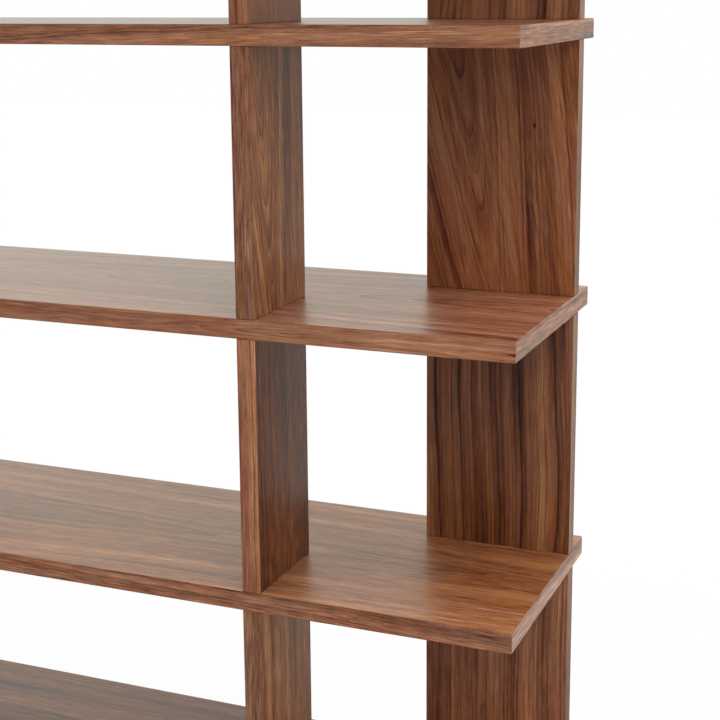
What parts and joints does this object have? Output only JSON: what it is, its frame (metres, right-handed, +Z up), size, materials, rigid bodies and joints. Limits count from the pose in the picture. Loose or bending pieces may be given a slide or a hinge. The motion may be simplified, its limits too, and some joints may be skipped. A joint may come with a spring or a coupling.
{
  "type": "zigzag bookshelf",
  "caption": "Tall open bookshelf in walnut veneer: flat boards carried by short uprights that alternate between wide panels near the back at the ends and narrow fins at the front edge.",
  "frame": {"origin": "on the floor, under the middle of the unit: the centre of its outline in plan, at the level of the glides' feet", "axes": "+X along the boards to the right as seen from the front, +Y from the front to the back, +Z up"},
  "size_m": [1.2, 0.34, 1.78],
  "materials": {
    "walnut_board": "walnut veneer, grain along the length, satin lacquer",
    "walnut_upright": "walnut veneer, grain upright, satin lacquer",
    "beech_tenon": "planed beech, glued in",
    "nylon_glide": "plain moulded nylon"
  },
  "bodies": {
    "root": {"glide_left_front": "nylon_glide", "glide_left_back": "nylon_glide", "glide_middle_front": "nylon_glide", "glide_middle_back": "nylon_glide", "glide_right_front": "nylon_glide", "glide_right_back": "nylon_glide", "bottom_board": "walnut_board", "bottom_board_left_panel_tenon": "beech_tenon", "bottom_board_left_fin_tenon": "beech_tenon", "bottom_board_right_fin_tenon": "beech_tenon", "bottom_board_right_panel_tenon": "beech_tenon", "shelf_1": "walnut_board", "shelf_1_left_panel_tenon": "beech_tenon", "shelf_1_left_fin_tenon": "beech_tenon", "shelf_1_right_fin_tenon": "beech_tenon", "shelf_1_right_panel_tenon": "beech_tenon", "shelf_2": "walnut_board", "shelf_2_left_panel_tenon": "beech_tenon", "shelf_2_left_fin_tenon": "beech_tenon", "shelf_2_right_fin_tenon": "beech_tenon", "shelf_2_right_panel_tenon": "beech_tenon", "shelf_3": "walnut_board", "shelf_3_left_panel_tenon": "beech_tenon", "shelf_3_left_fin_tenon": "beech_tenon", "shelf_3_right_fin_tenon": "beech_tenon", "shelf_3_right_panel_tenon": "beech_tenon", "shelf_4": "walnut_board", "shelf_4_left_panel_tenon": "beech_tenon", "shelf_4_left_fin_tenon": "beech_tenon", "shelf_4_right_fin_tenon": "beech_tenon", "shelf_4_right_panel_tenon": "beech_tenon", "top_board": "walnut_board", "top_board_left_panel_tenon": "beech_tenon", "top_board_left_fin_tenon": "beech_tenon", "top_board_right_fin_tenon": "beech_tenon", "top_board_right_panel_tenon": "beech_tenon", "tier_1_left_panel": "walnut_upright", "tier_1_left_fin": "walnut_upright", "tier_1_right_fin": "walnut_upright", "tier_1_right_panel": "walnut_upright", "tier_2_left_panel": "walnut_upright", "tier_2_left_fin": "walnut_upright", "tier_2_right_fin": "walnut_upright", "tier_2_right_panel": "walnut_upright", "tier_3_left_panel": "walnut_upright", "tier_3_left_fin": "walnut_upright", "tier_3_right_fin": "walnut_upright", "tier_3_right_panel": "walnut_upright", "tier_4_left_panel": "walnut_upright", "tier_4_left_fin": "walnut_upright", "tier_4_right_fin": "walnut_upright", "tier_4_right_panel": "walnut_upright", "tier_5_left_panel": "walnut_upright", "tier_5_left_fin": "walnut_upright", "tier_5_right_fin": "walnut_upright", "tier_5_right_panel": "walnut_upright"}
  },
  "joints": []
}
